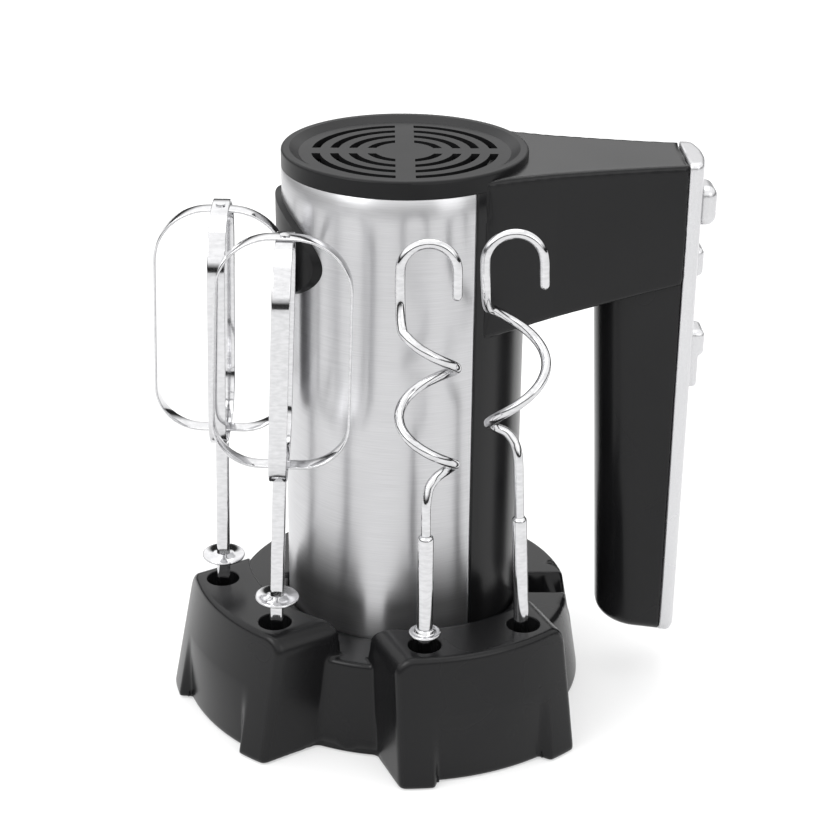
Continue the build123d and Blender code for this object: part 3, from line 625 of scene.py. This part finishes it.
def raySkin(field, spine, columns, capRows, reach=90.0, step=1.0):
    # rays leave every spine point square to the spine, and fan round at its two ends; a point is its ray's
    # start plus its length times its heading, where the field first turns positive
    spine = np.asarray(spine, float)
    axis = (spine[-1] - spine[0]) / np.linalg.norm(spine[-1] - spine[0])
    side = np.cross(axis, (0, 1, 0) if abs(axis[1]) < 0.9 else (1, 0, 0))
    side /= np.linalg.norm(side)
    tilts = np.radians(np.linspace(-90, 0, capRows, endpoint=False))
    start = np.vstack([np.repeat(spine[:1], capRows, axis=0), spine, np.repeat(spine[-1:], capRows, axis=0)])
    tilt = np.concatenate([tilts, np.zeros(len(spine)), -tilts[::-1]])[:, None, None]
    angle = np.linspace(0, 2 * np.pi, columns, endpoint=False)[:, None]
    ring = np.cos(angle) * side + np.sin(angle) * np.cross(axis, side)
    heading = np.cos(tilt) * ring + np.sin(tilt) * axis

    def at(length):
        return start[:, None] + heading * length[:, :, None]

    length = firstCrossing(lambda d: field(*np.moveaxis(at(d), 2, 0)) > 0, heading.shape[:2], step, reach)
    # the first and last rows are single points, so they close as fans
    last = (len(start) - 1) * columns
    faces = gridFaces(len(start), columns, False, True)
    faces = [tuple(0 if v < columns else min(v, last) for v in f) for f in faces]
    return at(length).reshape(-1, 3), withoutRepeats(faces)


def openPocket(points, faces, columns, firstRow, lastRow, half, floor):
    # drops the outer face's cells between two rows and two sideways limits, then walls the opening in down to
    # a floor at one distance out
    grid = points.reshape(-1, columns, 3)
    middle = grid[(firstRow + lastRow) // 2]
    inside = np.where((np.abs(middle[:, 1]) < half) & (middle[:, 0] > floor + 3))[0]
    left, right = inside[0] - 1, inside[-1] + 1
    for column in (left, right):
        edge = grid[firstRow:lastRow + 1, column, 1]
        edge[:] = np.copysign(half, edge)
    numbers = np.arange(len(points)).reshape(-1, columns)[firstRow:lastRow + 1, left:right + 1]
    held = set(numbers.ravel().tolist())
    faces = [f for f in faces if not all(v in held for v in f)]
    loop = np.concatenate([numbers[0, :-1], numbers[:-1, -1], numbers[-1, :0:-1], numbers[:0:-1, 0]]).tolist()
    low = points[loop].copy()
    low[:, 0] = floor
    n, base = len(loop), len(points)
    walls = [(loop[i], loop[(i + 1) % n], base + (i + 1) % n, base + i) for i in range(n)]
    walls.append(tuple(range(base, base + n)))
    a, b, c = low[0], low[n // 3], low[2 * n // 3]
    if np.cross(b - a, c - a)[0] < 0:  # the floor has to face out of the pocket
        walls = [tuple(reversed(f)) for f in walls]
    return np.vstack([points, low]), faces + walls


def sectorSkin(radius, low, high, start, stop, thick, columns, edge=0.25):
    # curved sheet: an outline of radius and height carried round from one angle to the other, ends closed
    heights = np.linspace(low + edge, high - edge, 24)
    outline = [(radius - thick, low), (radius - edge, low)] + [(radius, z) for z in heights]
    outline += [(radius - edge, high), (radius - thick, high)]
    r, z = np.array(outline).T
    angle = np.radians(np.linspace(start, stop, columns))[:, None]
    points = np.stack([r * np.cos(angle), r * np.sin(angle), z + 0 * angle], 2).reshape(-1, 3)
    n = len(outline)
    faces = [tuple(reversed(f)) for f in gridFaces(columns, n, False, True)]
    faces += [tuple(range(n)), tuple(reversed(range((columns - 1) * n, columns * n)))]
    return points, faces


def makeHousing():
    # a core under the sleeve, a spine between its edges, and the arm and the grip
    b = bodyLook
    low, high, seam, spineHalf = b["low"], b["high"], b["seam"], b["seam"] - b["seamGap"]
    core = sectorSkin(b["coreRadius"], low, high, seam - 1, 361 - seam, b["coreThick"], 120)
    spine = sectorSkin(b["spineRadius"], low, high, -spineHalf, spineHalf, b["spineThick"], 90)
    span, height = b["armSpine"]
    armSpine = [(x, 0, height) for x in np.linspace(*span)]
    arm = raySkin(armField, armSpine, columns=220, capRows=34, reach=60)
    span, place, lean = b["gripSpine"]
    gripSpine = [(place - lean * (z - b["gripFoot"]), 0, z) for z in np.linspace(*span)]
    grip = raySkin(gripField, gripSpine, columns=150, capRows=40, reach=60)
    points, faces = joined([core, spine, arm, grip])
    addMesh("housingSkin", points, faces, "black_satin", "mixer", ["housing_left", "housing_right"])


def makeSleeve():
    # a sheet at the body's radius, from one seam the long way round to the other
    b = bodyLook
    start, stop = b["seam"], 360 - b["seam"]
    points, faces = sectorSkin(b["radius"], b["low"], b["high"], start, stop, b["sleeveThick"], 260)
    addMesh("sleeveSkin", points, faces, "brushed_sleeve", "mixer", ["steel_sleeve"])


def makeTrim():
    # the dome, with rows at the pocket's top and bottom so that it opens cleanly
    low, high, half, floor = bodyLook["pocket"]
    span, place = bodyLook["trimSpine"]
    columns, capRows = 140, 26
    heights = np.union1d(np.linspace(*span), (low, high))
    points, faces = raySkin(trimField, [(place, 0, z) for z in heights], columns, capRows, reach=30, step=0.5)
    firstRow, lastRow = (capRows + int(np.searchsorted(heights, z)) for z in (low, high))
    points, faces = openPocket(points, faces, columns, firstRow, lastRow, half, floor)
    addMesh("trimSkin", points, faces, "silver_satin", "mixer", ["handle_trim"])


# Controls on the trim: eject button, turbo button and speed slider

controlLook = {"eject": ((122.2, 0, 216.8), (4.6, 8.4, 8.2), 4.2), "ejectGroove": (126.9, 214.6, 0.55),
               "turbo": ((119.7, 0, 192.4), (3.5, 6.4, 6.2), 2.6),
               "sliderBase": ((121.0, 0, 149.8), (2.6, 7.2, 12.6), 2.0),
               "sliderThumb": ((121.9, 0, 157.0), (3.8, 7.2, 5.6), 2.4), "sliderJoin": 1.0,
               "ejectSpine": (119.5, 124.5, 24), "turboSpine": (118.5, 121.5, 12),
               "sliderSpine": ((140, 159, 60), 121.6)}


def makeEject():
    # a rounded box less a thin round groove across it
    body, (grooveX, grooveZ, grooveRadius) = boxField(*controlLook["eject"]), controlLook["ejectGroove"]
    height = controlLook["eject"][0][2]

    def button(x, y, z):
        return np.maximum(body(x, y, z), grooveRadius - np.hypot(x - grooveX, z - grooveZ))

    spine = [(x, 0, height) for x in np.linspace(*controlLook["ejectSpine"])]
    points, faces = raySkin(button, spine, columns=140, capRows=40, reach=16, step=0.4)
    addMesh("ejectSkin", points, faces, "silver_satin", "ejector", ["eject_button"])


def makeTurbo():
    # a rounded box
    height = controlLook["turbo"][0][2]
    spine = [(x, 0, height) for x in np.linspace(*controlLook["turboSpine"])]
    points, faces = raySkin(boxField(*controlLook["turbo"]), spine, columns=96, capRows=24, reach=12, step=0.4)
    addMesh("turboSkin", points, faces, "silver_satin", "turbo", ["turbo_button"])


def makeSlider():
    # a low base joined with a raised thumb rest
    base, thumb = boxField(*controlLook["sliderBase"]), boxField(*controlLook["sliderThumb"])

    def slider(x, y, z):
        return roundedOr(base(x, y, z), thumb(x, y, z), controlLook["sliderJoin"])

    span, place = controlLook["sliderSpine"]
    spine = [(place, 0, z) for z in np.linspace(*span)]
    points, faces = raySkin(slider, spine, columns=110, capRows=26, reach=16, step=0.4)
    addMesh("sliderSkin", points, faces, "silver_satin", "slider", ["speed_slider"])


makeStand()
makeBeaters()
makeHooks()
print("stand and accessories made")
makeHousing()
makeSleeve()
makeTrim()
print("body made")
makeEject()
makeTurbo()
makeSlider()
print("controls made")


# Floor, light and camera

stageLook = {"floorSize": 8.0, "floorColour": (0.5, 0.5, 0.5), "floorGlow": 0.42, "horizon": 0.03,
             "zenith": 1.55, "leftShare": 1.1, "rightShare": 0.9, "rise": (0.15, 0.34)}


def makeStage():
    # a flat square floor that glows a little
    size = stageLook["floorSize"]
    corners = [(-size, -size, 0), (size, -size, 0), (size, size, 0), (-size, size, 0)]
    mesh = bpy.data.meshes.new("floor")
    mesh.from_pydata(corners, [], [(0, 1, 2, 3)])
    floor = bpy.data.objects.new("floor", mesh)
    bpy.context.scene.collection.objects.link(floor)
    material, tree, shader, where = newMaterial("floorPaint")
    faint = noiseNode(tree, where, 3.0)
    tone = stageLook["floorColour"]
    paler = tuple(v * 1.005 for v in tone)
    tree.links.new(mixColour(tree, faint, tone, paler), shader.inputs["Base Color"])
    shader.inputs["Roughness"].default_value = 0.9
    shader.inputs["Specular IOR Level"].default_value = 0.0
    shader.inputs["Emission Color"].default_value = (1, 1, 1, 1)
    shader.inputs["Emission Strength"].default_value = stageLook["floorGlow"]
    mesh.materials.append(material)


def makeWorld():
    # strength is a ramp of the height, dim at the horizon, times a gentler one from left to right
    world = bpy.data.worlds.new("studio")
    world.use_nodes = True
    tree = world.node_tree
    where = tree.nodes.new("ShaderNodeTexCoord")
    split = tree.nodes.new("ShaderNodeSeparateXYZ")
    tree.links.new(where.outputs["Generated"], split.inputs["Vector"])
    height = ramp(tree, split.outputs["Z"], stageLook["horizon"], stageLook["zenith"], *stageLook["rise"])
    sideways = ramp(tree, split.outputs["X"], stageLook["leftShare"], stageLook["rightShare"], -0.9, 0.9)
    product = tree.nodes.new("ShaderNodeMath")
    product.operation = "MULTIPLY"
    tree.links.new(height, product.inputs[0])
    tree.links.new(sideways, product.inputs[1])
    tree.nodes["Background"].inputs["Color"].default_value = (1, 1, 1, 1)
    tree.links.new(product.outputs["Value"], tree.nodes["Background"].inputs["Strength"])
    bpy.context.scene.world = world


lamps = {
    "keyLamp": {"place": (-0.9, -0.7, 1.1), "aim": (0, 0, 0.12), "size": (0.7, 0.7), "power": 6.0},
    "fillLamp": {"place": (0.9, -1.0, 0.7), "aim": (0.05, 0, 0.12), "size": (0.6, 0.9), "power": 2.0},
    "topLamp": {"place": (0.0, 0.25, 1.3), "aim": (0, 0, 0.1), "size": (0.9, 0.9), "power": 5.0},
}


def makeLamps():
    # each lamp stands at its place and points at its aim
    for name, facts in lamps.items():
        light = bpy.data.lights.new(name, "AREA")
        light.shape = "RECTANGLE"
        light.size, light.size_y = facts["size"]
        light.energy = facts["power"]
        lamp = bpy.data.objects.new(name, light)
        bpy.context.scene.collection.objects.link(lamp)
        lamp.location = facts["place"]
        towards = Vector(facts["aim"]) - Vector(facts["place"])
        lamp.rotation_euler = towards.to_track_quat("-Z", "Y").to_euler()


lens = {"place": (-0.007867, -0.755602, 0.456840), "azimuth": 0.0199, "tilt": 0.4205, "roll": 0.0101,
        "focal": 82.83, "sensor": 36.0}


def makeCamera():
    # looks along the azimuth (from +Y towards +X), tilted down, rolled about its own axis
    a, t, roll = lens["azimuth"], lens["tilt"], lens["roll"]
    forward = Vector((math.sin(a) * math.cos(t), math.cos(a) * math.cos(t), -math.sin(t)))
    level = Vector((math.cos(a), -math.sin(a), 0))
    down = forward.cross(level)
    right = math.cos(roll) * level - math.sin(roll) * down
    below = math.sin(roll) * level + math.cos(roll) * down
    turn = Matrix((right, -below, -forward)).transposed()
    data = bpy.data.cameras.new("camera")
    data.lens, data.sensor_width = lens["focal"], lens["sensor"]
    camera = bpy.data.objects.new("camera", data)
    bpy.context.scene.collection.objects.link(camera)
    camera.matrix_world = Matrix.Translation(lens["place"]) @ turn.to_4x4()
    bpy.context.scene.camera = camera


makeStage()
makeWorld()
makeLamps()
makeCamera()
bpy.context.scene.view_settings.view_transform = "Standard"
print("stage, light and camera set")
